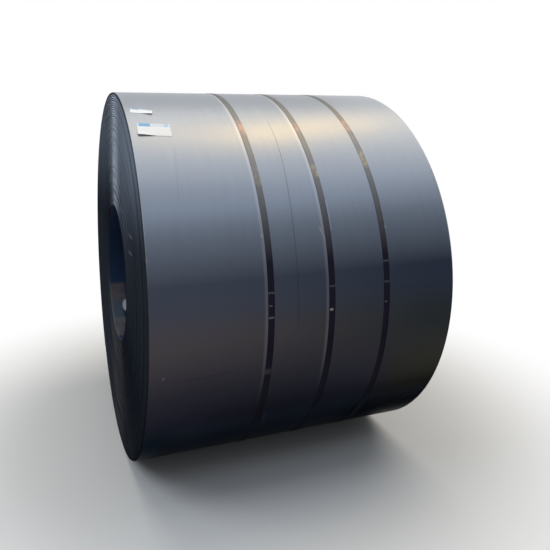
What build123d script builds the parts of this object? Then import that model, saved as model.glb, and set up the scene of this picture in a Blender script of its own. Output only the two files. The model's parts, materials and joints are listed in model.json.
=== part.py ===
from build123d import *

import os
from math import acos, cos, degrees, radians, sin

# A hot-rolled steel coil: one wide strip wound tight into a roll with an open eye.
# Three flat steel straps hold it round the barrel, and two paper labels are stuck on its front.
# It lies on its barrel: +X runs along the eye, -Y is the front, +Z is up and the floor is Z = 0.
# Sizes are in millimetres. Angles are in degrees about the eye, from the level front over the top.

# Coil
COIL_DIAMETER = 1650.0
EYE_DIAMETER = 610.0
STRIP_WIDTH = 1250.0
STRIP_THICKNESS = 10.0
EDGE_BEVEL = 2.0
TAIL_ANGLE = 225.0

# Straps
STRAP_WIDTH = 25.0
STRAP_THICKNESS = 0.9
STRAP_GAP = 0.1
STRAP_JOINT_LENGTH = 90.0
LEFT_STRAP_FROM_LEFT_END = 451.0
RIGHT_STRAP_FROM_RIGHT_END = 315.0
MIDDLE_STRAP_OFF_HALFWAY = 4.0
LEFT_JOINT_ANGLE = 2.2
MIDDLE_JOINT_ANGLE = 2.4
RIGHT_JOINT_ANGLE = 2.4

# Labels
LABEL_THICKNESS = 0.25
LABEL_GAP = 0.3
LARGE_LABEL_WIDTH = 128.0
LARGE_LABEL_HEIGHT = 76.0
LARGE_LABEL_FROM_LEFT_END = 101.0
LARGE_LABEL_ANGLE = 53.7
LARGE_LABEL_TILT = 4.0
SMALL_LABEL_WIDTH = 86.0
SMALL_LABEL_HEIGHT = 36.0
SMALL_LABEL_FROM_LEFT_END = 71.5
SMALL_LABEL_ANGLE = 63.0
SMALL_LABEL_TILT = 11.0

# As many turns as fit, from the eye out: the last one is half a turn thicker, until the tail is cut from it
COIL_RADIUS = COIL_DIAMETER / 2
EYE_RADIUS = EYE_DIAMETER / 2
TURNS = int((COIL_RADIUS - EYE_RADIUS) / STRIP_THICKNESS - 0.5)
TURN_PITCH = (COIL_RADIUS - EYE_RADIUS) / (TURNS + 0.5)


def toward(angle):
    """The direction, seen along the eye, at an angle from the level front over the top."""
    return Vector(-cos(radians(angle)), sin(radians(angle)))


# The barrel is a spiral of four quarter turns, each with its own center and radius.
# It grows by one turn's pitch from under the strip's tail, once round, to the top of the tail.
QUARTER = 90.0
QUARTER_GROWTH = TURN_PITCH / 4
QUARTER_STARTS = [TAIL_ANGLE + QUARTER * i for i in range(4)]
QUARTER_RADII = [COIL_RADIUS + QUARTER_GROWTH * (i - 3.5) for i in range(4)]
QUARTER_CENTERS = [(toward(QUARTER_STARTS[1]) + toward(QUARTER_STARTS[2])) * QUARTER_GROWTH / 2]
for start in QUARTER_STARTS[1:]:
    QUARTER_CENTERS.append(QUARTER_CENTERS[-1] - toward(start) * QUARTER_GROWTH)


def quarter_at(angle):
    """Which quarter of the spiral lies at an angle."""
    return int((angle - TAIL_ANGLE) % 360 // QUARTER)


def on_spiral(quarter, angle, offset):
    """A point at an angle on a quarter of the spiral, an offset out from the barrel."""
    return QUARTER_CENTERS[quarter] + toward(angle) * (QUARTER_RADII[quarter] + offset)


def spiral_arc(quarter, start, end, offset):
    """The arc between two angles on a quarter of the spiral, an offset out from the barrel."""
    middle = (start + end) / 2
    return ThreePointArc(*(on_spiral(quarter, angle, offset) for angle in (start, middle, end)))


# The coil lies on its straps, so the floor is that far under the lowest quarter of the barrel
DOWN = 270.0
STRAP_OUTSIDE = STRAP_GAP + STRAP_THICKNESS
EYE_CENTER = Pos(0, 0, -on_spiral(quarter_at(DOWN), DOWN, STRAP_OUTSIDE).Y)

# Places along the eye
LEFT_END = -STRIP_WIDTH / 2
RIGHT_END = STRIP_WIDTH / 2
LEFT_STRAP_X = LEFT_END + LEFT_STRAP_FROM_LEFT_END
RIGHT_STRAP_X = RIGHT_END - RIGHT_STRAP_FROM_RIGHT_END
MIDDLE_STRAP_X = (LEFT_STRAP_X + RIGHT_STRAP_X) / 2 + MIDDLE_STRAP_OFF_HALFWAY


def grooved_end(end_x, outward):
    """Points up one end from the eye: a valley between each turn and the next, with peaks past the end."""
    valley_x = end_x - outward * EDGE_BEVEL
    peak_x = valley_x + outward * TURN_PITCH / 2
    points = []
    for turn in range(TURNS):
        low = EYE_RADIUS + turn * TURN_PITCH
        points.append((valley_x, low))
        points.append((peak_x, low + TURN_PITCH / 2))
    points.append((peak_x, COIL_RADIUS + TURN_PITCH))
    return points


def barrel_quarter(quarter):
    """A quarter turn of the spiral roll, without its eye, bevelled along the strip's edges."""
    radius = QUARTER_RADII[quarter]
    half_section = make_face(
        Polyline(
            (LEFT_END, 0),
            (LEFT_END, radius - EDGE_BEVEL),
            (LEFT_END + EDGE_BEVEL, radius),
            (RIGHT_END - EDGE_BEVEL, radius),
            (RIGHT_END, radius - EDGE_BEVEL),
            (RIGHT_END, 0),
            close=True,
        )
    )
    center = QUARTER_CENTERS[quarter]
    end = QUARTER_STARTS[quarter] + QUARTER
    return Pos(0, center.X, center.Y) * Rot(180 - end, 0, 0) * revolve(half_section, Axis.X, QUARTER)


def coil():
    """The wound strip: turned with a groove between its turns on both ends, and cut to the spiral barrel."""
    left = grooved_end(LEFT_END, -1)
    right = grooved_end(RIGHT_END, 1)
    turned = revolve(make_face(Polyline(left + right[::-1], close=True)), Axis.X)
    barrel = barrel_quarter(0)
    for quarter in range(1, 4):
        barrel += barrel_quarter(quarter)
    return EYE_CENTER * (turned & barrel)


def strap_inside(bridge_angle):
    """The closed line along a strap's inside: round the spiral, then straight down off the tail."""
    edges = []
    for quarter, start in enumerate([bridge_angle] + QUARTER_STARTS[1:]):
        edges.append(spiral_arc(quarter, start, QUARTER_STARTS[quarter] + QUARTER, STRAP_GAP))
    tail = on_spiral(3, TAIL_ANGLE, STRAP_GAP)
    edges.append(Line(tail, on_spiral(0, bridge_angle, STRAP_GAP)))
    return Curve() + edges


def lapped_arc(quarter, start, end, low, high):
    """A strap's outside along a quarter that holds the overlap, from its low to its high angle."""
    lapped = STRAP_OUTSIDE + STRAP_THICKNESS
    return [
        spiral_arc(quarter, start, low, STRAP_OUTSIDE),
        Line(on_spiral(quarter, low, STRAP_OUTSIDE), on_spiral(quarter, low, lapped)),
        spiral_arc(quarter, low, high, lapped),
        Line(on_spiral(quarter, high, lapped), on_spiral(quarter, high, STRAP_OUTSIDE)),
        spiral_arc(quarter, high, end, STRAP_OUTSIDE),
    ]


def strap_outside(bridge_angle, joint_low, joint_high):
    """The closed line along a strap's outside, which steps out round the overlap of its two ends."""
    low = TAIL_ANGLE + (joint_low - TAIL_ANGLE) % 360
    high = low + joint_high - joint_low
    edges = []
    for quarter, start in enumerate([bridge_angle] + QUARTER_STARTS[1:]):
        end = QUARTER_STARTS[quarter] + QUARTER
        if quarter == quarter_at(joint_low):
            edges += lapped_arc(quarter, start, end, low, high)
        else:
            edges.append(spiral_arc(quarter, start, end, STRAP_OUTSIDE))
    tail = on_spiral(3, TAIL_ANGLE, STRAP_GAP)
    bend_angles = (TAIL_ANGLE, (TAIL_ANGLE + bridge_angle) / 2, bridge_angle)
    bend = [tail + toward(angle) * STRAP_THICKNESS for angle in bend_angles]
    edges.append(ThreePointArc(*bend))
    edges.append(Line(bend[-1], on_spiral(0, bridge_angle, STRAP_OUTSIDE)))
    return Curve() + edges


def strap(center_x, joint_angle):
    """A flat band pulled tight round the barrel, double where its two ends overlap at the front."""
    under = QUARTER_RADII[0] + STRAP_GAP
    bridge_angle = TAIL_ANGLE + degrees(acos(under / (under + TURN_PITCH)))
    half_joint = degrees(STRAP_JOINT_LENGTH / COIL_RADIUS) / 2
    outside = make_face(strap_outside(bridge_angle, joint_angle - half_joint, joint_angle + half_joint))
    section = outside - make_face(strap_inside(bridge_angle))
    return EYE_CENTER * Pos(center_x, 0, 0) * extrude(Plane.YZ * section, STRAP_WIDTH / 2, both=True)


def label(width, height, from_left_end, angle, tilt):
    """A sheet of paper that follows the barrel, turned a little about its own middle."""
    quarter = quarter_at(angle)
    inside = QUARTER_RADII[quarter] + LABEL_GAP
    outside = inside + LABEL_THICKNESS
    center = QUARTER_CENTERS[quarter]
    reach = max(width, height)
    skin = Rot(0, 90, 0) * (Cylinder(outside, 2 * reach) - Cylinder(inside, 2 * reach))
    outline = Pos(0, -inside, 0) * Rot(0, tilt, 0) * Box(width, reach, height)
    sheet = skin & (Rot(-angle, 0, 0) * outline)
    return EYE_CENTER * Pos(LEFT_END + from_left_end, center.X, center.Y) * sheet


pieces = {
    "coil": coil(),
    "strap_left": strap(LEFT_STRAP_X, LEFT_JOINT_ANGLE),
    "strap_middle": strap(MIDDLE_STRAP_X, MIDDLE_JOINT_ANGLE),
    "strap_right": strap(RIGHT_STRAP_X, RIGHT_JOINT_ANGLE),
    "label_large": label(
        LARGE_LABEL_WIDTH,
        LARGE_LABEL_HEIGHT,
        LARGE_LABEL_FROM_LEFT_END,
        LARGE_LABEL_ANGLE,
        LARGE_LABEL_TILT,
    ),
    "label_small": label(
        SMALL_LABEL_WIDTH,
        SMALL_LABEL_HEIGHT,
        SMALL_LABEL_FROM_LEFT_END,
        SMALL_LABEL_ANGLE,
        SMALL_LABEL_TILT,
    ),
}

os.makedirs("parts", exist_ok=True)
for name, piece in pieces.items():
    export_step(piece, f"parts/{name}.step")
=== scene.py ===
import json
from math import acos, degrees, radians

import bmesh
import bpy
import numpy as np
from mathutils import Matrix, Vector


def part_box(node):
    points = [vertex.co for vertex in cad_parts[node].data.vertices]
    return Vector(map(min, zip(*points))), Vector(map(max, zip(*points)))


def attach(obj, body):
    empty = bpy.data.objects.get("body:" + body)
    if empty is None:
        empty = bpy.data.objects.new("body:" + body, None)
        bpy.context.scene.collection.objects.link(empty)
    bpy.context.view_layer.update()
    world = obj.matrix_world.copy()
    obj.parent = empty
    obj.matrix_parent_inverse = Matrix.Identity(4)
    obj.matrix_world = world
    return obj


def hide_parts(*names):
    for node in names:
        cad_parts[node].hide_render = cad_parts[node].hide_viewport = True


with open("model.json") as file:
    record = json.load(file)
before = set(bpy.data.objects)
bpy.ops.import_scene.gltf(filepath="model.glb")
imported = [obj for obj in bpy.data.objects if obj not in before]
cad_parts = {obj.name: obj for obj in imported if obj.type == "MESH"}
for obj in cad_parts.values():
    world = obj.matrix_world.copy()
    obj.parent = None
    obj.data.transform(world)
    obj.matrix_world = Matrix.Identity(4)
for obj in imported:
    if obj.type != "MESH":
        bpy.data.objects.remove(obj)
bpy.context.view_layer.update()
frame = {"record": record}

# A hot-rolled steel coil lying on its barrel, held by three straps, with two paper labels.
# Sizes are in metres: +X runs along the eye, -Y is the front, +Z is up and the floor is Z = 0.
# Angles are in degrees about the eye, from the level front over the top.

# Coil
COIL_DIAMETER = 1.650
STRIP_THICKNESS = 0.010
TAIL_ANGLE = 225.0
EYE = next(mount for mount in frame["record"]["mounts"] if mount["name"] == "eye")
EYE_RADIUS = EYE["dims"]["r_mm"] / 1000
EYE_HEIGHT = EYE["pos_m"][2]
LEFT_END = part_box("coil")[0].x
RIGHT_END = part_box("coil")[1].x

# The strip's edges on the ends of the coil: half round, each a little in or out of line
SEGMENTS = 232
EDGE_INSET = 0.0016
EDGE_DEPTH = 0.0038
EDGE_SHARES = (0.2, 0.5, 0.8)
EDGE_WANDER = 0.0014
WANDER_STEP = 0.37
WANDER_SEED = 7
SUPPORT_ROW = 0.006
SHARP_ANGLE = 65.0

# Straps: the rows across one, the flat and the full part of a crimp are shares of half its width
STRAP_WIDTH = 0.025
STRAP_THICKNESS = 0.00075
STRAP_GAP = 0.0001
STRAP_EDGE = 0.0003
STRAP_ROWS = (0.6, 0.3, 0.0)
STRAP_STEP = 1.5
BEND_STEPS = 5
JOINT_LENGTH = 0.090
JOINT_RAMP = 0.012
JOINT_STEP = 0.1
JOINT_ANGLES = {"strap_left": 2.2, "strap_middle": 2.4, "strap_right": 2.4}
CRIMP_PLACES = (0.2, 0.5, 0.8)
CRIMP_LENGTH = 0.004
CRIMP_DEPTH = 0.0006
CRIMP_FLAT = 0.2
CRIMP_FULL = 0.5

# Labels
LABEL_THICKNESS = 0.00025
LABEL_GAP = 0.0003
LABEL_CELLS = (48, 28)
LARGE_LABEL = {"width": 0.128, "height": 0.076, "from_left_end": 0.101, "angle": 53.7, "tilt": 4.0}
SMALL_LABEL = {"width": 0.086, "height": 0.036, "from_left_end": 0.0715, "angle": 63.0, "tilt": 11.0}

# How far a label has come off, and where: shares of its height from below and its width from the left
LARGE_CURL = 0.006
LARGE_CURL_TOP = 0.35
LARGE_CURL_ACROSS = 0.65
LARGE_CURL_LOSS = 0.95
SMALL_CURL = 0.004
SMALL_CURL_TOP = 0.6
SMALL_CURL_FROM = 0.4

# The spiral barrel: four quarter turns, each with its own center and radius.
# As many turns as fit lie from the eye out, and half a turn is spare for the spiral's growth.
COIL_RADIUS = COIL_DIAMETER / 2
SPARE_TURN = 0.5
TURNS = int((COIL_RADIUS - EYE_RADIUS) / STRIP_THICKNESS - SPARE_TURN)
PITCH = (COIL_RADIUS - EYE_RADIUS) / (TURNS + SPARE_TURN)
HEAD_TURN = 0.5
WOUND_TURNS = TURNS - HEAD_TURN
QUARTERS = 4
QUARTER = 360 / QUARTERS
GROWTH = PITCH / QUARTERS
SPIRAL_START = TAIL_ANGLE - 360


def toward(angle):
    """The direction (Y, Z), seen along the eye, at an angle from the level front over the top."""
    angle = np.radians(angle)
    return np.stack([-np.cos(angle), np.sin(angle)], axis=-1)


RADII = np.array([COIL_RADIUS + GROWTH * (i + 0.5 - QUARTERS) for i in range(QUARTERS)])
CENTERS = [(toward(SPIRAL_START + QUARTER) + toward(SPIRAL_START + 2 * QUARTER)) * GROWTH / 2]
for i in range(1, QUARTERS):
    CENTERS.append(CENTERS[-1] - toward(SPIRAL_START + QUARTER * i) * GROWTH)
CENTERS = np.array(CENTERS) + [0, EYE_HEIGHT]


def on_spiral(angle, offset):
    """Points (Y, Z) at angles on the barrel, an offset out from it."""
    angle = np.asarray(angle, float)
    quarter = np.clip((angle - SPIRAL_START) // QUARTER, 0, QUARTERS - 1).astype(int)
    return CENTERS[quarter] + toward(angle) * (RADII[quarter] + offset)[..., None]


def smooth(value, low, high):
    """0 at low, 1 at high, and an S-curve between them."""
    share = np.clip((np.asarray(value, float) - low) / (high - low), 0, 1)
    return share * share * (3 - 2 * share)


# Meshes


def new_piece(name, vertices, faces, node):
    """A smooth closed mesh that stands for a CAD node and rides with the coil."""
    mesh = bpy.data.meshes.new(name)
    mesh.from_pydata(vertices, [], faces)
    shell = bmesh.new()
    shell.from_mesh(mesh)
    bmesh.ops.recalc_face_normals(shell, faces=shell.faces)
    shell.to_mesh(mesh)
    shell.free()
    mesh.shade_smooth()
    mesh.set_sharp_from_angle(angle=radians(SHARP_ANGLE))
    piece = bpy.data.objects.new(name, mesh)
    bpy.context.scene.collection.objects.link(piece)
    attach(piece, "root")
    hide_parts(node)
    return piece


def add_attribute(piece, name, values):
    """A number for each vertex, which the material reads."""
    attribute = piece.data.attributes.new(name, "FLOAT", "POINT")
    attribute.data.foreach_set("value", np.ascontiguousarray(values, np.float32).ravel())


def row_quads(first, second):
    """Quads between two rows of vertex numbers."""
    return np.stack([first[:-1], first[1:], second[1:], second[:-1]], axis=-1).tolist()


def sheet_faces(rows, columns):
    """Faces of a thin closed sheet: a top grid of vertices, then a bottom grid, joined round the rim."""
    top = np.arange(rows * columns).reshape(rows, columns)
    bottom = top + rows * columns
    faces = []
    for grid in (top, bottom):
        for i in range(rows - 1):
            faces += row_quads(grid[i], grid[i + 1])
    for edge in (np.s_[0, :], np.s_[-1, :], np.s_[:, 0], np.s_[:, -1]):
        faces += row_quads(top[edge], bottom[edge])
    return faces


# Coil


def edge_wander(turn):
    """How far the strip has wandered along the eye, at turns from its head."""
    random = np.random.default_rng(WANDER_SEED)
    knots = np.arange(-1, TURNS + 2, WANDER_STEP)
    return np.interp(turn, knots, random.uniform(-EDGE_WANDER, EDGE_WANDER, len(knots)))


def edge_drop(share):
    """How far the strip's half-round edge drops back from its middle, at a share of its thickness."""
    return EDGE_DEPTH * (1 - (1 - (2 * share - 1) ** 2) ** 0.5)


def wound_points(turn, share, x):
    """Points on the strip, at turns from its head and a share of its thickness out from its inside."""
    back = WOUND_TURNS + 1 - turn
    lap = np.floor(back)
    angle = TAIL_ANGLE - 360 * (back - lap)
    return np.column_stack([np.broadcast_to(x, turn.shape), on_spiral(angle, (share - lap) * PITCH)])


def make_coil():
    """One strip wound from its head in the eye to its tail on the barrel, as a closed mesh."""
    steps = round(WOUND_TURNS * SEGMENTS)
    turns = np.arange(steps + SEGMENTS + 1) / SEGMENTS
    strip = turns[: steps + 1]
    points = []
    around = []
    rows = {}

    def add_row(name, turn, share, x):
        start = sum(map(len, points))
        points.append(wound_points(turn, share, x))
        around.append(TAIL_ANGLE - 360 * (WOUND_TURNS + 1 - turn))
        rows[name] = np.arange(start, start + len(turn))

    for side, end, inward in (("left", LEFT_END, 1), ("right", RIGHT_END, -1)):
        peak = end + inward * EDGE_INSET
        groove = peak + inward * edge_drop(0)
        add_row(side, turns, 0.0, groove + edge_wander(turns - HEAD_TURN))
        for share in EDGE_SHARES:
            add_row((side, share), strip, share, peak + inward * edge_drop(share) + edge_wander(strip))
        add_row(side + "_eye", turns[: SEGMENTS + 1], 0.0, groove + inward * SUPPORT_ROW)
        add_row(side + "_barrel", turns[steps:], 0.0, groove + inward * SUPPORT_ROW)

    barrel = row_quads(rows["left_barrel"], rows["right_barrel"])
    eye = row_quads(rows["left_eye"], rows["right_eye"])
    ends = []
    for side in ("left", "right"):
        groove = rows[side]
        edge = [groove[: steps + 1]] + [rows[side, share] for share in EDGE_SHARES] + [groove[SEGMENTS:]]
        for inner, outer in zip(edge, edge[1:]):
            ends += row_quads(inner, outer)
        eye += row_quads(groove[: SEGMENTS + 1], rows[side + "_eye"])
        barrel += row_quads(groove[steps:], rows[side + "_barrel"])
    for step, place in ((0, "eye"), (steps, "barrel")):
        left, right = (
            [rows[side][step]]
            + [rows[side, share][step] for share in EDGE_SHARES]
            + [rows[side][step + SEGMENTS], rows[f"{side}_{place}"][-1]]
            for side in ("left", "right")
        )
        ends.append(left + right[::-1] + [rows["right_" + place][0], rows["left_" + place][0]])

    faces = barrel + ends + eye
    piece = new_piece("coil_wound", np.concatenate(points), faces, "coil")
    materials = [kind for kind, group in enumerate((barrel, ends, eye)) for _ in group]
    piece.data.polygons.foreach_set("material_index", materials)
    add_attribute(piece, "around", np.concatenate(around))
    return piece


# Straps


def make_strap(node):
    """A band from its covered end, round the coil and straight off the tail, to its end on top."""
    low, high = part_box(node)
    center_x = (low.x + high.x) / 2
    half_joint = degrees(JOINT_LENGTH / COIL_RADIUS) / 2
    joint_low = JOINT_ANGLES[node] - half_joint
    joint_high = JOINT_ANGLES[node] + half_joint
    ramp_low = joint_low - degrees(JOINT_RAMP / COIL_RADIUS)
    under = RADII[0] + STRAP_GAP
    bridge = degrees(acos(under / (under + PITCH)))

    over_top = np.arange(joint_low, TAIL_ANGLE, STRAP_STEP)
    off_tail = np.linspace(0, bridge, BEND_STEPS)
    below = np.arange(SPIRAL_START + bridge, ramp_low, STRAP_STEP)
    joint = np.arange(ramp_low, joint_high, JOINT_STEP)
    angle = np.concatenate([over_top, TAIL_ANGLE + off_tail, below, joint])
    tail_point = np.tile(on_spiral(TAIL_ANGLE, STRAP_GAP), (len(off_tail), 1))
    inside = np.concatenate(
        [on_spiral(over_top, STRAP_GAP), tail_point, on_spiral(np.append(below, joint), STRAP_GAP)]
    )
    outward = toward(angle)
    lifted = np.arange(len(angle)) >= len(angle) - len(joint)
    lift = lifted * smooth(angle, ramp_low, joint_low) * STRAP_THICKNESS
    from_end = np.where(lifted, np.radians(joint_high - angle) * COIL_RADIUS, COIL_DIAMETER)

    half = STRAP_WIDTH / 2
    across = np.array([-half, STRAP_EDGE - half] + [-half * share for share in STRAP_ROWS])
    across = np.concatenate([across, -across[-2::-1]])
    rounding = np.where(abs(across) > half - STRAP_EDGE / 2, STRAP_EDGE, 0)
    crimp = sum(
        np.exp(-(((from_end - JOINT_LENGTH * place) / CRIMP_LENGTH) ** 2)) for place in CRIMP_PLACES
    )
    dent = crimp[:, None] * smooth(abs(across), half * CRIMP_FLAT, half * CRIMP_FULL) * CRIMP_DEPTH
    top = lift[:, None] + STRAP_THICKNESS - rounding - dent
    bottom = lift[:, None] + rounding / 2 - dent

    def surface(height):
        yz = inside[:, None, :] + outward[:, None, :] * height[..., None]
        x = np.broadcast_to(center_x + across, height.shape)
        return np.concatenate([x[..., None], yz], axis=-1).reshape(-1, 3)

    faces = sheet_faces(len(angle), len(across))
    points = np.concatenate([surface(top), surface(bottom)])
    piece = new_piece(node + "_band", points, faces, node)
    for name, values in (("around", angle[:, None]), ("across", across)):
        add_attribute(piece, name, np.tile(np.broadcast_to(values, top.shape).ravel(), 2))
    return piece


# Labels


def make_label(node, lift, width, height, from_left_end, angle, tilt):
    """A sheet of paper on the barrel, turned a little, with its lifted edge clear of the steel."""
    columns, rows = LABEL_CELLS
    across, up = np.meshgrid(np.linspace(0, 1, columns), np.linspace(0, 1, rows))
    u = (across - 0.5) * width
    v = (up - 0.5) * height
    turn = radians(tilt)
    x = LEFT_END + from_left_end + u * np.cos(turn) + v * np.sin(turn)
    climb = v * np.cos(turn) - u * np.sin(turn)
    angles = angle + np.degrees(climb / COIL_RADIUS)

    def surface(offset):
        return np.concatenate([x[..., None], on_spiral(angles, offset)], axis=-1).reshape(-1, 3)

    rest = LABEL_GAP + lift(across, up)
    points = np.concatenate([surface(rest + LABEL_THICKNESS), surface(rest)])
    piece = new_piece(node + "_sheet", points, sheet_faces(rows, columns), node)
    add_attribute(piece, "sheet_u", np.tile(across.ravel(), 2))
    add_attribute(piece, "sheet_v", np.tile(up.ravel(), 2))
    return piece


def large_lift(across, up):
    """The lower edge curls up, most at the left."""
    along = 1 - LARGE_CURL_LOSS * smooth(across, 0, LARGE_CURL_ACROSS)
    return LARGE_CURL * (1 - smooth(up, 0, LARGE_CURL_TOP)) * along


def small_lift(across, up):
    """The lower right corner has come off."""
    return SMALL_CURL * (1 - smooth(up, 0, SMALL_CURL_TOP)) * smooth(across, SMALL_CURL_FROM, 1)


coil_piece = make_coil()
strap_pieces = [make_strap(node) for node in JOINT_ANGLES]
large_label = make_label("label_large", large_lift, **LARGE_LABEL)
small_label = make_label("label_small", small_lift, **SMALL_LABEL)


# Materials

ARC_PER_DEGREE = radians(1) * COIL_RADIUS
STRAP_PLACES = {node: (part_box(node)[0].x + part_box(node)[1].x) / 2 for node in JOINT_ANGLES}


class Shader:
    """A material's node tree. Each call adds a node and gives the socket that comes out of it."""

    def __init__(self, name):
        self.material = bpy.data.materials.new(name)
        self.material.use_nodes = True
        self.tree = self.material.node_tree
        self.surface = self.tree.nodes["Principled BSDF"]

    def node(self, kind, inputs, output=0, **settings):
        node = self.tree.nodes.new(kind)
        for name, value in settings.items():
            setattr(node, name, value)
        for name, value in inputs.items():
            self.feed(node.inputs[name], value)
        return node.outputs[output]

    def feed(self, socket, value):
        if isinstance(value, bpy.types.NodeSocket):
            self.tree.links.new(value, socket)
        elif isinstance(value, tuple) and socket.type == "RGBA":
            socket.default_value = (*value, 1)
        else:
            socket.default_value = value

    def attribute(self, name):
        return self.node("ShaderNodeAttribute", {}, "Fac", attribute_name=name)

    def place(self):
        return self.node("ShaderNodeTexCoord", {}, "Object")

    def up(self):
        """How far the surface faces up: 1 for a top, 0 for a wall and -1 for an underside."""
        return self.axis(self.node("ShaderNodeTexCoord", {}, "Normal"), "Z")

    def axis(self, vector, name):
        return self.node("ShaderNodeSeparateXYZ", {0: vector}, name)

    def vector(self, x, y, z):
        return self.node("ShaderNodeCombineXYZ", {0: x, 1: y, 2: z})

    def math(self, operation, first, second=0.0):
        return self.node("ShaderNodeMath", {0: first, 1: second}, operation=operation)

    def times(self, first, *others):
        for other in others:
            first = self.math("MULTIPLY", first, other)
        return first

    def plus(self, first, *others):
        for other in others:
            first = self.math("ADD", first, other)
        return first

    def minus(self, first, second):
        return self.math("SUBTRACT", first, second)

    def most(self, first, second):
        return self.math("MAXIMUM", first, second)

    def size(self, first, second):
        """The length of a step with two parts."""
        return self.math("SQRT", self.plus(self.times(first, first), self.times(second, second)))

    def ramp(self, value, low, high):
        """0 at low, 1 at high, and a straight line between them."""
        return self.node("ShaderNodeMapRange", {"Value": value, "From Min": low, "From Max": high})

    def step(self, value, low, high):
        """0 at low, 1 at high, and an S-curve between them."""
        ends = {"Value": value, "From Min": low, "From Max": high}
        return self.node("ShaderNodeMapRange", ends, interpolation_type="SMOOTHSTEP")

    def near(self, value, middle, half_width, soft):
        """1 within a half width of the middle, fading to 0 over a soft edge."""
        distance = self.math("ABSOLUTE", self.minus(value, middle))
        return self.step(distance, half_width + soft, half_width)

    def mark(self, x, around, start, end, half_width, strength):
        """A straight mark on the barrel between two places, of some strength."""
        span = Vector((end[0] - start[0], (end[1] - start[1]) * ARC_PER_DEGREE))
        way = span.normalized()
        off_x = self.minus(x, start[0])
        off_arc = self.times(self.minus(around, start[1]), ARC_PER_DEGREE)
        along = self.plus(self.times(off_x, way.x), self.times(off_arc, way.y))
        aside = self.minus(self.times(off_x, way.y), self.times(off_arc, way.x))
        within = self.near(along, span.length / 2, span.length / 2, 2 * half_width)
        return self.times(within, self.near(aside, 0.0, half_width, half_width), strength)

    def mix(self, share, first, second):
        """The first color, with a share of the second mixed in."""
        node = self.tree.nodes.new("ShaderNodeMix")
        node.data_type = "RGBA"
        sockets = {socket.name: socket for socket in node.inputs if socket.enabled}
        for name, value in (("Factor", share), ("A", first), ("B", second)):
            self.feed(sockets[name], value)
        return next(socket for socket in node.outputs if socket.enabled)

    def noise(self, vector, scale, detail, roughness=0.5):
        inputs = {"Vector": vector, "Scale": scale, "Detail": detail, "Roughness": roughness}
        return self.node("ShaderNodeTexNoise", inputs, "Fac")

    def bump(self, height, strength, distance):
        inputs = {"Height": height, "Strength": strength, "Distance": distance}
        return self.node("ShaderNodeBump", inputs)

    def finish(self, **inputs):
        for name, value in inputs.items():
            self.feed(self.surface.inputs[name.replace("_", " ")], value)
        return self.material


# In the values below, a pair is where something starts and where it is full.
# FACING pairs count how far the surface faces up, as up() does.
# RIGHTWARD pairs are metres along the eye, and HEIGHTS pairs are metres above the floor.

# Barrel: lighter to the left, darker to the right; browner low down, a painted reflection of brown
# ground; and painted shade and reflection underneath, set by how far the surface faces down
SCALE_LEFT = (0.040, 0.048, 0.068)
SCALE_RIGHT = (0.019, 0.0255, 0.041)
BROWN_LEFT = (0.053, 0.047, 0.054)
BROWN_RIGHT = (0.018, 0.021, 0.023)
BROWN_FACING = (0.12, -0.12)
BROWN_CLOUDS = (-0.1, 0.45)
UNDER_LEFT = (0.034, 0.033, 0.047)
UNDER_RIGHT = (0.038, 0.037, 0.031)
UNDER_FACING = (-0.10, -0.42)
UNDER_RIGHTWARD = (0.2, 0.5)
BOTTOM_CORNER = (0.032, 0.037, 0.044)
BOTTOM_LEFT = (0.052, 0.060, 0.080)
BOTTOM_RIGHT = (0.066, 0.071, 0.082)
BOTTOM_FACING = (-0.48, -0.62)
CORNER_RIGHTWARD = (-0.60, -0.40)
BOTTOM_RIGHTWARD = (0.1, 0.5)

# Patterns on the barrel: a stretch round the coil, a layer, and a noise's scale, detail and roughness
STREAKS = (0.05, 0.0, 38.0, 4.0, 0.6)
FINE_STREAKS = (0.12, 3.0, 190.0, 3.0, 0.5)
CLOUDS = (0.5, 7.0, 2.6, 4.0, 0.55)

# Dust on the barrel, which also paints the sky's light: a bluish painted sheen on what faces up, less at
# the very top, more at the upper right
TOP_DUST_AND_LIGHT = (0.37, 0.41, 0.475)
SLOPE_DUST_AND_LIGHT = (0.34, 0.41, 0.52)
SLOPE_FACING = (0.25, 0.70)
DUST_AND_LIGHT_FACING = (0.16, 0.76)
DUST_AND_LIGHT_SHARE = 0.59
COVER_STREAKS = 0.14
TOP_FACING = (0.80, 0.98)
TOP_LOSS = 0.05
EXTRA_FACING = (0.72, 0.92)
EXTRA_RIGHTWARD = (0.2, 0.6)
EXTRA_SHARE = 0.13

# A painted highlight beside the left and the middle strap: a thin pale band that stands for the strap's
# lit edge, brighter where the barrel faces up
BARE_STEEL_AND_GLINT = (0.55, 0.55, 0.56)
GLINT_STRAPS = ("strap_left", "strap_middle")
GLINT_OFFSET = 0.0185
GLINT_HALF_WIDTH = 0.0025
GLINT_SOFTNESS = 0.007
GLINT_EVEN = 0.7
GLINT_STREAKS = 0.6
GLINT_FACING = (-0.5, -0.2)
GLINT_LOW = 0.055
GLINT_HIGH = 0.28

# A painted highlight along the edges of the barrel, where they face up
RIM_WIDTH = 0.010
RIM_FULL_WIDTH = RIM_WIDTH / 3
RIM_FACING = (0.1, 0.4)
RIM_SHARE = 0.45

# A thin line drawn round the barrel between the same straps, which bends away at its top
NEAR_BLACK = (0.012, 0.012, 0.014)
LINE_X = -0.0675
LINE_BEND = 0.025
LINE_BEND_ANGLE = 2.0
LINE_ANGLES = (-3.0, 55.0)
LINE_FADE = 4.0
LINE_HALF_WIDTH = 0.0006
LINE_SOFTNESS = 0.0022
LINE_SHARE = 0.4

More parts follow.
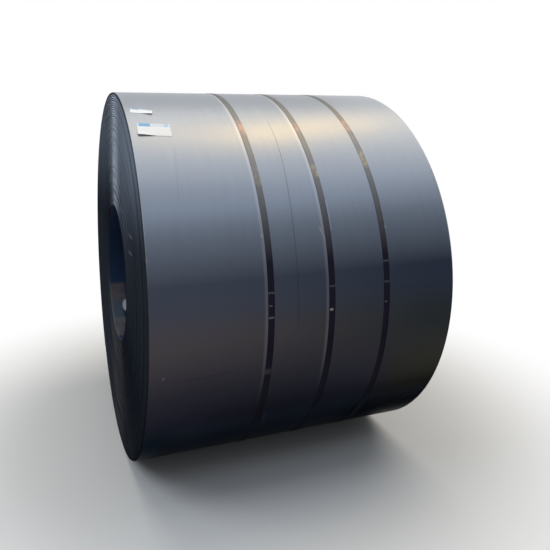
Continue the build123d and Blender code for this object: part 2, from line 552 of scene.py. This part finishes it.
# Marks on the barrel: two places (metres along the eye, angle), half a width and a strength
LIGHT_MARKS = [
    ((0.042, 21.0), (0.062, 17.0), 0.0030, 0.12),
    ((0.088, 28.5), (0.089, 20.2), 0.0020, 0.08),
    ((-0.194, 20.2), (-0.194, 19.8), 0.0025, 0.20),
    ((0.323, 20.2), (0.323, 19.8), 0.0025, 0.20),
    ((-0.568, -13.6), (-0.568, -14.0), 0.0025, 0.10),
    ((-0.622, 16.4), (-0.622, 15.6), 0.0030, 0.50),
    ((-0.423, -45.2), (-0.405, -44.1), 0.0015, 0.10),
    # A painted highlight along a strap's right edge
    ((-0.145, -33.7), (-0.135, -43.0), 0.0015, 0.12),
]
DARK_MARKS = [
    # A painted dark edge of a reflection, low on the front
    ((-0.491, -15.4), (-0.317, -14.8), 0.0012, 0.45),
    ((-0.466, 46.7), (-0.486, 29.5), 0.0025, 0.08),
]

# The barrel is satin, rougher along its streaks and under dust, and duller at its lower right, where the
# duller sheen is painted shade
BARREL_ROUGHNESS = 0.25
STREAK_ROUGHNESS = 0.10
DUST_ROUGHNESS = 0.06
BARREL_SHEEN = (0.38, 0.40, 0.43)
DULL_SHEEN = (0.21, 0.21, 0.22)
DULL_FACING = (-0.42, -0.62)
DULL_RIGHTWARD = (0.1, 0.45)
STREAK_RELIEF = 0.6
FINE_RELIEF = 0.25
RELIEF_STRENGTH = 0.10
RELIEF_HEIGHT = 0.0006


def barrel_material():
    """Mill scale, blue-grey and satin, streaked round the coil, dusty with painted sky light on what
    faces up, and with painted reflections, painted shade and painted highlights in places.
    """
    s = Shader("mill_scale_barrel")
    x = s.axis(s.place(), "X")
    around = s.attribute("around")
    arc = s.times(around, ARC_PER_DEGREE)
    up = s.up()

    def pattern(stretch, layer, scale, detail, roughness):
        return s.noise(s.vector(x, s.times(arc, stretch), layer), scale, detail, roughness)

    streaks = pattern(*STREAKS)
    fine_streaks = pattern(*FINE_STREAKS)
    clouds = pattern(*CLOUDS)

    rightward = s.step(x, LEFT_END, RIGHT_END)
    blue = s.mix(rightward, SCALE_LEFT, SCALE_RIGHT)
    brown = s.mix(rightward, BROWN_LEFT, BROWN_RIGHT)
    under = s.mix(s.step(x, *UNDER_RIGHTWARD), UNDER_LEFT, UNDER_RIGHT)
    bottom = s.mix(s.step(x, *CORNER_RIGHTWARD), BOTTOM_CORNER, BOTTOM_LEFT)
    bottom = s.mix(s.step(x, *BOTTOM_RIGHTWARD), bottom, BOTTOM_RIGHT)
    # Painted reflection and shade: brown ground reflected low down, and the colours underneath set by
    # facing
    scale = s.mix(s.times(s.step(up, *BROWN_FACING), s.step(clouds, *BROWN_CLOUDS)), blue, brown)
    scale = s.mix(s.step(up, *UNDER_FACING), scale, under)
    scale = s.mix(s.step(up, *BOTTOM_FACING), scale, bottom)

    # Dust that also paints the sky's light on what faces up
    top = s.minus(1.0, s.times(s.step(up, *TOP_FACING), TOP_LOSS))
    extra = s.times(s.step(x, *EXTRA_RIGHTWARD), s.step(up, *EXTRA_FACING), EXTRA_SHARE)
    cover = s.plus(DUST_AND_LIGHT_SHARE, extra, s.times(streaks, COVER_STREAKS))
    dust_and_light = s.times(s.ramp(up, *DUST_AND_LIGHT_FACING), top, cover)
    color = s.mix(dust_and_light, scale, s.mix(s.step(up, *SLOPE_FACING), SLOPE_DUST_AND_LIGHT, TOP_DUST_AND_LIGHT))

    # Painted highlights beside two straps and along the rims, in the same pale steel as the real light
    # marks
    glint = 0.0
    for node in GLINT_STRAPS:
        glint = s.plus(glint, s.near(x, STRAP_PLACES[node] - GLINT_OFFSET, GLINT_HALF_WIDTH, GLINT_SOFTNESS))
    facing = s.most(up, 0.0)
    glint_low = s.times(s.step(up, *GLINT_FACING), GLINT_LOW)
    glint_high = s.times(facing, facing, GLINT_HIGH)
    glint = s.times(glint, s.plus(GLINT_EVEN, s.times(fine_streaks, GLINT_STREAKS)), s.plus(glint_low, glint_high))
    # Painted highlight along the rims where they face up
    rim = s.step(s.math("ABSOLUTE", x), RIGHT_END - RIM_WIDTH, RIGHT_END - RIM_FULL_WIDTH)
    bare_and_glint = s.most(glint, s.times(rim, s.step(up, *RIM_FACING), RIM_SHARE))
    for mark in LIGHT_MARKS:
        bare_and_glint = s.most(bare_and_glint, s.mark(x, around, *mark))
    color = s.mix(bare_and_glint, color, BARE_STEEL_AND_GLINT)

    line_low, line_high = LINE_ANGLES
    bend = s.step(around, LINE_BEND_ANGLE, line_high)
    line_x = s.plus(LINE_X, s.times(bend, bend, LINE_BEND))
    line = s.near(s.minus(x, line_x), 0.0, LINE_HALF_WIDTH, LINE_SOFTNESS)
    within = s.near(around, (line_low + line_high) / 2, (line_high - line_low) / 2, LINE_FADE)
    dark = s.times(line, within, LINE_SHARE)
    for mark in DARK_MARKS:
        dark = s.most(dark, s.mark(x, around, *mark))
    color = s.mix(dark, color, NEAR_BLACK)

    # Painted shade: a duller sheen at the lower right
    dull = s.times(s.step(x, *DULL_RIGHTWARD), s.step(up, *DULL_FACING))
    rough_streaks = s.times(streaks, STREAK_ROUGHNESS)
    relief = s.plus(s.times(streaks, STREAK_RELIEF), s.times(fine_streaks, FINE_RELIEF))
    return s.finish(
        Base_Color=color,
        Metallic=s.minus(1.0, dust_and_light),
        Roughness=s.plus(BARREL_ROUGHNESS, rough_streaks, s.times(dust_and_light, DUST_ROUGHNESS)),
        Specular_Tint=s.mix(dull, BARREL_SHEEN, DULL_SHEEN),
        Normal=s.bump(relief, RELIEF_STRENGTH, RELIEF_HEIGHT),
    )


# Ends: each turn a little different, a few grains rusty, and the first and the last turn dark
EDGE_DARK = (0.014, 0.017, 0.023)
EDGE_PALE = (0.032, 0.038, 0.050)
TONE_SCALE = 2.7
TONE_DETAIL = 1.0
GRAIN_SCALE = 60.0
GRAIN_DETAIL = 4.0
RUST = (0.05, 0.045, 0.042)
RUST_GRAIN = (0.55, 0.75)
RUST_SHARE = 0.25
FIRST_TURN = (EYE_RADIUS + PITCH, EYE_RADIUS + PITCH / 2)
LAST_TURN_START = TAIL_ANGLE - 2 * 360
TURN_FADE = 20.0
LAST_TURN = (LAST_TURN_START - TURN_FADE, LAST_TURN_START + TURN_FADE)
DARK_TURN_SHARE = 0.7
DARK_TURN_COVER_LOSS = 0.75
END_ROUGHNESS = 0.45
GRAIN_ROUGHNESS = 0.2
END_SHEEN = (0.10, 0.12, 0.15)

# Dust on the ends, which also paints light from above: a thin film high up, and over the eye a painted
# highlight on the upper side of each turn
DUST_AND_LIGHT_LOW = (0.40, 0.37, 0.35)
HIGHLIGHT_ON_EDGES = (0.46, 0.53, 0.64)
LOW_COLOR_HEIGHTS = (0.5, 1.0)
COVER_HEIGHTS = (1.00, 1.50)
COVER_SHARE = 0.21
COVER_OVER_EYE = -0.07
COVER_FACING_UP = 0.12
EDGES_FACING = (0.10, 0.76)
EDGES_HEIGHTS = (1.00, 1.25)
EDGES_SHARE = 0.78
OVER_EYE_Y = 0.035
OVER_EYE_REACH = (0.28, 0.06)
FACING_SHARE = 0.04
FACING_OVER_EYE = 0.10

# Short scratches on the left end: metres behind the eye's middle and above the floor
END_SCRATCHES = ((-0.255, 1.139), (-0.474, 1.069), (-0.464, 1.001))
SCRATCH_HALF_LENGTH = 0.015
SCRATCH_FADE = 0.040
SCRATCH_HALF_WIDTH = 0.002
SCRATCH_SOFTNESS = 0.005
SCRATCH_SHARE = 0.12
LEFTWARD = (0.1, -0.1)


def end_material():
    """The ends: dark scale, each turn a little different, dusty with painted light toward the top, and a
    painted highlight over the eye.
    """
    s = Shader("mill_scale_ends")
    place = s.place()
    behind = s.axis(place, "Y")
    height = s.axis(place, "Z")
    around = s.attribute("around")
    tone = s.noise(s.vector(s.times(around, 1 / 360), 0.0, 0.0), TONE_SCALE, TONE_DETAIL)
    grain = s.noise(place, GRAIN_SCALE, GRAIN_DETAIL)
    color = s.mix(tone, EDGE_DARK, EDGE_PALE)
    color = s.mix(s.times(s.step(grain, *RUST_GRAIN), RUST_SHARE), color, RUST)
    first = s.step(s.size(behind, s.minus(height, EYE_HEIGHT)), *FIRST_TURN)
    last = s.step(around, *LAST_TURN)
    color = s.mix(s.times(first, DARK_TURN_SHARE), color, NEAR_BLACK)
    color = s.mix(s.times(last, DARK_TURN_SHARE), color, NEAR_BLACK)

    # Painted light: dust high up and on upward-facing turns, and a painted highlight band over the eye
    facing = s.ramp(s.up(), *EDGES_FACING)
    over_eye = s.step(s.math("ABSOLUTE", s.minus(behind, OVER_EYE_Y)), *OVER_EYE_REACH)
    highlight = s.times(facing, over_eye, s.step(height, *EDGES_HEIGHTS))
    cover = s.plus(COVER_SHARE, s.times(over_eye, COVER_OVER_EYE), s.times(facing, COVER_FACING_UP))
    on_facing = s.times(facing, s.plus(FACING_SHARE, s.times(over_eye, FACING_OVER_EYE)))
    dust_and_light = s.plus(s.times(s.step(height, *COVER_HEIGHTS), cover), on_facing, s.times(highlight, EDGES_SHARE))
    dust_and_light = s.times(dust_and_light, s.minus(1.0, s.times(last, DARK_TURN_COVER_LOSS)))
    cover_color = s.mix(s.step(height, *LOW_COLOR_HEIGHTS), DUST_AND_LIGHT_LOW, SLOPE_DUST_AND_LIGHT)
    cover_color = s.mix(highlight, cover_color, HIGHLIGHT_ON_EDGES)
    color = s.mix(dust_and_light, color, cover_color)

    on_left = s.times(s.step(s.axis(place, "X"), *LEFTWARD), SCRATCH_SHARE)
    for scratch_y, scratch_z in END_SCRATCHES:
        along = s.near(behind, scratch_y, SCRATCH_HALF_LENGTH, SCRATCH_FADE)
        aside = s.near(height, scratch_z, SCRATCH_HALF_WIDTH, SCRATCH_SOFTNESS)
        color = s.mix(s.times(along, aside, on_left), color, BARE_STEEL_AND_GLINT)
    return s.finish(
        Base_Color=color,
        Metallic=s.minus(1.0, dust_and_light),
        Roughness=s.plus(END_ROUGHNESS, s.times(grain, GRAIN_ROUGHNESS)),
        Specular_Tint=END_SHEEN,
    )


# Eye
EYE_DARK = (0.006, 0.014, 0.038)
EYE_PALE = (0.014, 0.030, 0.070)
SCUFF_SCALE = 30.0
SCUFF_DETAIL = 4.0
SCUFF_RANGE = (0.10, 0.55)
EYE_ROUGHNESS = 0.4
SCUFF_ROUGHNESS = 0.2
EYE_GLOSS = 0.1

# Lighter patches in the eye near its left mouth, partly wear and partly painted light: metres along it,
# half a length, an angle, half a span and its fade, whether it is scuffed, a strength and a color
WORN_AND_LIT_PATCHES = [
    (-0.585, 0.030, -145.0, 7.0, 4.0, True, 0.8, (0.085, 0.075, 0.080)),
    (-0.597, 0.022, -126.0, 9.0, 3.0, False, 0.7, (0.055, 0.080, 0.110)),
    (-0.600, 0.030, -104.0, 12.0, 4.0, True, 0.8, (0.095, 0.095, 0.105)),
]
PATCH_FADE = 0.012

# A painted glint in the eye, a bright oval spot: metres along it, an angle, and half of each
EYE_GLINT = (0.55, 0.58, 0.65)
SPOT_X = -0.553
SPOT_HALF_LENGTH = 0.020
SPOT_ANGLE = -131.0
SPOT_HALF_SPAN = 7.5
SPOT_RIM = (1.0, 0.6)
SPOT_SHARE = 0.68


def eye_material():
    """The inside of the eye: dark scale, lighter in patches near its left mouth, partly wear and partly
    painted light, with a painted glint.
    """
    s = Shader("mill_scale_eye")
    place = s.place()
    x = s.axis(place, "X")
    rise = s.minus(s.axis(place, "Z"), EYE_HEIGHT)
    angle = s.times(s.math("ARCTAN2", rise, s.times(s.axis(place, "Y"), -1.0)), degrees(1))
    scuff = s.noise(place, SCUFF_SCALE, SCUFF_DETAIL)
    color = s.mix(scuff, EYE_DARK, EYE_PALE)
    scuffed = s.step(scuff, *SCUFF_RANGE)
    # Patches of wear and painted light near the left mouth
    for patch_x, half_length, patch_angle, half_span, fade, is_scuffed, strength, patch in WORN_AND_LIT_PATCHES:
        along = s.near(x, patch_x, half_length, PATCH_FADE)
        share = s.times(along, s.near(angle, patch_angle, half_span, fade), strength)
        if is_scuffed:
            share = s.times(share, scuffed)
        color = s.mix(share, color, patch)
    # A painted glint
    off_x = s.times(s.minus(x, SPOT_X), 1 / SPOT_HALF_LENGTH)
    off_angle = s.times(s.minus(angle, SPOT_ANGLE), 1 / SPOT_HALF_SPAN)
    color = s.mix(s.times(s.step(s.size(off_x, off_angle), *SPOT_RIM), SPOT_SHARE), color, EYE_GLINT)
    return s.finish(
        Base_Color=color,
        Roughness=s.plus(EYE_ROUGHNESS, s.times(scuff, SCUFF_ROUGHNESS)),
        Specular_IOR_Level=EYE_GLOSS,
    )


# Strap steel: dark wax with specks; lighter underneath, a painted reflection; dust on top, which also
# paints light from above
STRAP_DARK = (0.007, 0.0065, 0.012)
STRAP_PALE = (0.013, 0.012, 0.021)
STRAP_UNDER = (0.028, 0.028, 0.036)
STRAP_BOTTOM = (0.048, 0.053, 0.068)
STRAP_UNDER_FACING = (-0.15, -0.60)
STRAP_BOTTOM_FACING = (-0.50, -0.66)
STRAP_DUST_AND_LIGHT = (0.275, 0.290, 0.305)
STRAP_COVER_FACING = (0.22, 0.72)
STRAP_COVER_SHARE = 0.38
STRAP_COVER_SPECKS = 0.13
SPECK_SCALE = 120.0
SPECK_DETAIL = 3.0
STRAP_ROUGHNESS = 0.36
SPECK_ROUGHNESS = 0.15
STRAP_SHEEN = (0.3, 0.3, 0.3)

# Marks across the straps: an angle, a half length, from and to along half a width, a strength and a color
TICK_GREY = (0.42, 0.45, 0.50)
TICK_BROWN = (0.44, 0.40, 0.36)
TICK_PINK = (0.60, 0.45, 0.42)
TICK_EVEN = 0.5
STRAP_TICKS = {
    "strap_left": [
        (5.4, 0.0025, (-1.2, 1.2), 0.08, TICK_GREY),
        (2.1, 0.0015, (-0.7, 0.1), 0.13, TICK_GREY),
        (-1.0, 0.0025, (-0.8, 0.6), 0.14, TICK_BROWN),
        (-16.4, 0.0080, (-1.2, 1.2), 0.06, TICK_BROWN),
    ],
    "strap_middle": [
        (5.5, 0.0025, (-1.2, 1.2), 0.06, TICK_GREY),
        (-0.7, 0.0030, (-0.7, 0.2), 0.28, TICK_PINK),
    ],
    "strap_right": [
        (10.8, 0.0025, (-1.2, 1.2), 0.07, TICK_GREY),
        (5.2, 0.0025, (-1.2, 1.2), 0.06, TICK_GREY),
        (-0.3, 0.0015, (-0.8, -0.1), 0.13, TICK_GREY),
    ],
}

# Patches on the straps, pink ones a painted warm reflection and yellow ones stains: an angle, half a
# length in degrees, a strength and a color
PINK_WARM_REFLECTION = (0.42, 0.24, 0.21)
STAIN_YELLOW = (0.36, 0.30, 0.14)
STRAP_STAINS_AND_REFLECTIONS = {
    "strap_left": [(54.5, 2.2, 0.45, PINK_WARM_REFLECTION), (36.5, 2.0, 0.16, STAIN_YELLOW)],
    "strap_middle": [(54.2, 1.2, 0.25, PINK_WARM_REFLECTION), (37.4, 0.9, 0.50, STAIN_YELLOW)],
    "strap_right": [(55.2, 1.8, 0.42, PINK_WARM_REFLECTION), (41.0, 1.8, 0.38, STAIN_YELLOW)],
}
STAIN_FADE = 1.8
STAIN_SCALE = 70.0
STAIN_DETAIL = 4.0
STAIN_RANGE = (0.32, 0.62)


def strap_material(node):
    """Dark waxed band steel, dusty with painted light on top, lighter underneath as a painted reflection,
    with yellow stains, a painted warm reflection in places, and marks at its joint.
    """
    s = Shader(node + "_steel")
    around = s.attribute("around")
    across = s.attribute("across")
    place = s.place()
    up = s.up()
    speck = s.noise(place, SPECK_SCALE, SPECK_DETAIL)
    blotch = s.step(s.noise(place, STAIN_SCALE, STAIN_DETAIL), *STAIN_RANGE)
    color = s.mix(speck, STRAP_DARK, STRAP_PALE)
    # Painted reflection: lighter where the strap faces down
    color = s.mix(s.step(up, *STRAP_UNDER_FACING), color, STRAP_UNDER)
    color = s.mix(s.step(up, *STRAP_BOTTOM_FACING), color, STRAP_BOTTOM)
    # Dust that also paints light on what faces up
    cover = s.plus(STRAP_COVER_SHARE, s.times(speck, STRAP_COVER_SPECKS))
    dust_and_light = s.times(s.ramp(up, *STRAP_COVER_FACING), cover)
    color = s.mix(dust_and_light, color, STRAP_DUST_AND_LIGHT)
    # Pink patches: painted warm reflection; yellow ones: stains
    for angle, half_length, strength, patch_color in STRAP_STAINS_AND_REFLECTIONS[node]:
        share = s.times(s.near(around, angle, half_length, STAIN_FADE), blotch, strength)
        color = s.mix(share, color, patch_color)
    half_width = STRAP_WIDTH / 2
    for angle, half_length, (start, end), strength, tick in STRAP_TICKS[node]:
        half_angle = half_length / ARC_PER_DEGREE
        half_span = (end - start) / 2 * half_width
        middle = (start + end) / 2 * half_width
        along = s.near(around, angle, half_angle, half_angle)
        share = s.times(along, s.near(across, middle, half_span, half_span / 2), strength)
        color = s.mix(s.times(share, s.plus(TICK_EVEN, speck)), color, tick)
    return s.finish(
        Base_Color=color,
        Metallic=s.minus(1.0, dust_and_light),
        Roughness=s.plus(STRAP_ROUGHNESS, s.times(speck, SPECK_ROUGHNESS)),
        Specular_Tint=STRAP_SHEEN,
    )


# Label paper, with a blue band from a share of its height up: stronger in two blocks (middle, half width)
PAPER_DARK = (0.60, 0.62, 0.65)
PAPER_PALE = (0.68, 0.70, 0.72)
PAPER_ROUGHNESS = 0.55
FIBER_SCALE = 400.0
FIBER_DETAIL = 3.0
BAND_BLUE = (0.10, 0.30, 0.55)
LARGE_BAND = 0.74
SMALL_BAND = 0.80
BAND_SOFTNESS = 0.02
BAND_SHARE = 0.25
LEFT_BLOCK = (0.22, 0.15)
RIGHT_BLOCK = (0.87, 0.05)
RIGHT_BLOCK_SHARE = 0.6
BLOCK_SOFTNESS = 0.05


def label_material(name, band):
    """White paper with a blue band along its top."""
    s = Shader(name)
    u = s.attribute("sheet_u")
    v = s.attribute("sheet_v")
    paper = s.mix(s.noise(s.place(), FIBER_SCALE, FIBER_DETAIL), PAPER_DARK, PAPER_PALE)
    left = s.near(u, *LEFT_BLOCK, BLOCK_SOFTNESS)
    right = s.times(s.near(u, *RIGHT_BLOCK, BLOCK_SOFTNESS), RIGHT_BLOCK_SHARE)
    blue = s.times(s.step(v, band - BAND_SOFTNESS, band), s.most(s.most(left, right), BAND_SHARE))
    return s.finish(Base_Color=s.mix(blue, paper, BAND_BLUE), Roughness=PAPER_ROUGHNESS)


for make in (barrel_material, end_material, eye_material):
    coil_piece.data.materials.append(make())
for node, piece in zip(JOINT_ANGLES, strap_pieces):
    piece.data.materials.append(strap_material(node))
large_label.data.materials.append(label_material("label_paper_large", LARGE_BAND))
small_label.data.materials.append(label_material("label_paper_small", SMALL_BAND))


# Stage, light and camera

FLOOR_RADIUS = 14.0
FLOOR_SEGMENTS = 128
FLOOR_COLOR = (0.71, 0.72, 0.73)
FLOOR_ROUGHNESS = 0.9
FLOOR_FADE = (0.95, 2.1)
WHITE = (1.0, 1.0, 1.0)
AMBIENT = 0.25

# Name, place, aim, size, brightness and color
MIDDLE = (0.0, 0.0, EYE_HEIGHT)
WARM_AIM = (0.0, -0.3, 1.4)
WARM = (1.0, 0.55, 0.05)
LAMPS = [
    ("overhead", (1.9, 0.50, 4.6), (1.9, 0.50, 0.0), (8.0, 2.9), 2.35, (1.0, 0.915, 0.77)),
    ("middle", (0.9, -1.68, 4.6), (0.9, -1.0, 0.0), (6.6, 1.35), 1.48, (0.95, 0.97, 1.0)),
    ("front", (0.7, -3.3, 4.2), MIDDLE, (6.4, 1.4), 0.93, (0.76, 0.88, 1.0)),
    ("warm_left", (0.30, 0.25, 5.0), WARM_AIM, (1.2, 0.5), 3.8, WARM),
    ("warm_middle", (1.35, 0.22, 5.0), WARM_AIM, (0.9, 0.5), 13.0, WARM),
    ("warm_right", (2.30, 0.75, 5.0), WARM_AIM, (1.0, 0.5), 9.3, WARM),
    ("left", (-3.4, -0.4, 3.2), (-0.6, 0.0, 1.1), (2.0, 2.0), 4.5, (0.88, 0.94, 1.0)),
]
REFLECTED_ONLY = ("warm_left", "warm_middle", "warm_right")

CAMERA_AT = (-0.955, -2.733, 1.519)
CAMERA_HEADING = 20.02
CAMERA_PITCH = -6.565
CAMERA_LENS = 38.62
CAMERA_SHIFT = (0.0455, -0.1602)


def seen_directly(tree):
    """1 for rays that show the background: from the camera, and in reflections."""
    path = tree.nodes.new("ShaderNodeLightPath")
    total = path.outputs["Is Camera Ray"]
    for name in ("Is Glossy Ray", "Is Transmission Ray"):
        either = tree.nodes.new("ShaderNodeMath")
        either.operation = "MAXIMUM"
        tree.links.new(total, either.inputs[0])
        tree.links.new(path.outputs[name], either.inputs[1])
        total = either.outputs[0]
    return total


def make_floor():
    """A pale floor that fades into the white background away from the coil."""
    mesh = bpy.data.meshes.new("floor")
    shell = bmesh.new()
    bmesh.ops.create_circle(shell, cap_ends=True, segments=FLOOR_SEGMENTS, radius=FLOOR_RADIUS)
    shell.to_mesh(mesh)
    shell.free()
    floor = bpy.data.objects.new("floor", mesh)
    bpy.context.scene.collection.objects.link(floor)
    s = Shader("floor")
    s.finish(Base_Color=FLOOR_COLOR, Roughness=FLOOR_ROUGHNESS, Specular_IOR_Level=0.0)
    distance = s.node("ShaderNodeVectorMath", {0: s.place()}, "Value", operation="LENGTH")
    fade = s.times(s.step(distance, *FLOOR_FADE), seen_directly(s.tree))
    white = s.node("ShaderNodeEmission", {"Color": WHITE, "Strength": 1.0})
    blend = s.node("ShaderNodeMixShader", {0: fade, 1: s.surface.outputs[0], 2: white})
    s.tree.links.new(blend, s.tree.nodes["Material Output"].inputs["Surface"])
    mesh.materials.append(s.material)


def make_world():
    """White where it shows, and a dimmer even light on the coil."""
    world = bpy.data.worlds.new("studio")
    world.use_nodes = True
    tree = world.node_tree
    strength = tree.nodes.new("ShaderNodeMapRange")
    strength.inputs["To Min"].default_value = AMBIENT
    tree.links.new(seen_directly(tree), strength.inputs["Value"])
    background = tree.nodes["Background"]
    background.inputs["Color"].default_value = (*WHITE, 1)
    tree.links.new(strength.outputs[0], background.inputs["Strength"])
    bpy.context.scene.world = world


def make_lamp(name, at, aim, size, radiance, color):
    """A soft rectangular lamp of an even brightness, aimed at a point."""
    lamp = bpy.data.lights.new(name, "AREA")
    lamp.shape = "RECTANGLE"
    lamp.size, lamp.size_y = size
    lamp.energy = radiance * size[0] * size[1] * np.pi
    lamp.color = color
    holder = bpy.data.objects.new(name, lamp)
    holder.location = at
    holder.rotation_mode = "QUATERNION"
    holder.rotation_quaternion = (Vector(aim) - Vector(at)).to_track_quat("-Z", "Y")
    holder.visible_diffuse = name not in REFLECTED_ONLY
    bpy.context.scene.collection.objects.link(holder)


def make_camera():
    """The photograph's viewpoint."""
    camera = bpy.data.cameras.new("camera")
    camera.lens = CAMERA_LENS
    camera.shift_x, camera.shift_y = CAMERA_SHIFT
    holder = bpy.data.objects.new("camera", camera)
    holder.location = CAMERA_AT
    holder.rotation_euler = (radians(90 + CAMERA_PITCH), 0, radians(-CAMERA_HEADING))
    bpy.context.scene.collection.objects.link(holder)
    bpy.context.scene.camera = holder


make_floor()
make_world()
for lamp in LAMPS:
    make_lamp(*lamp)
make_camera()
bpy.context.scene.view_settings.view_transform = "Standard"
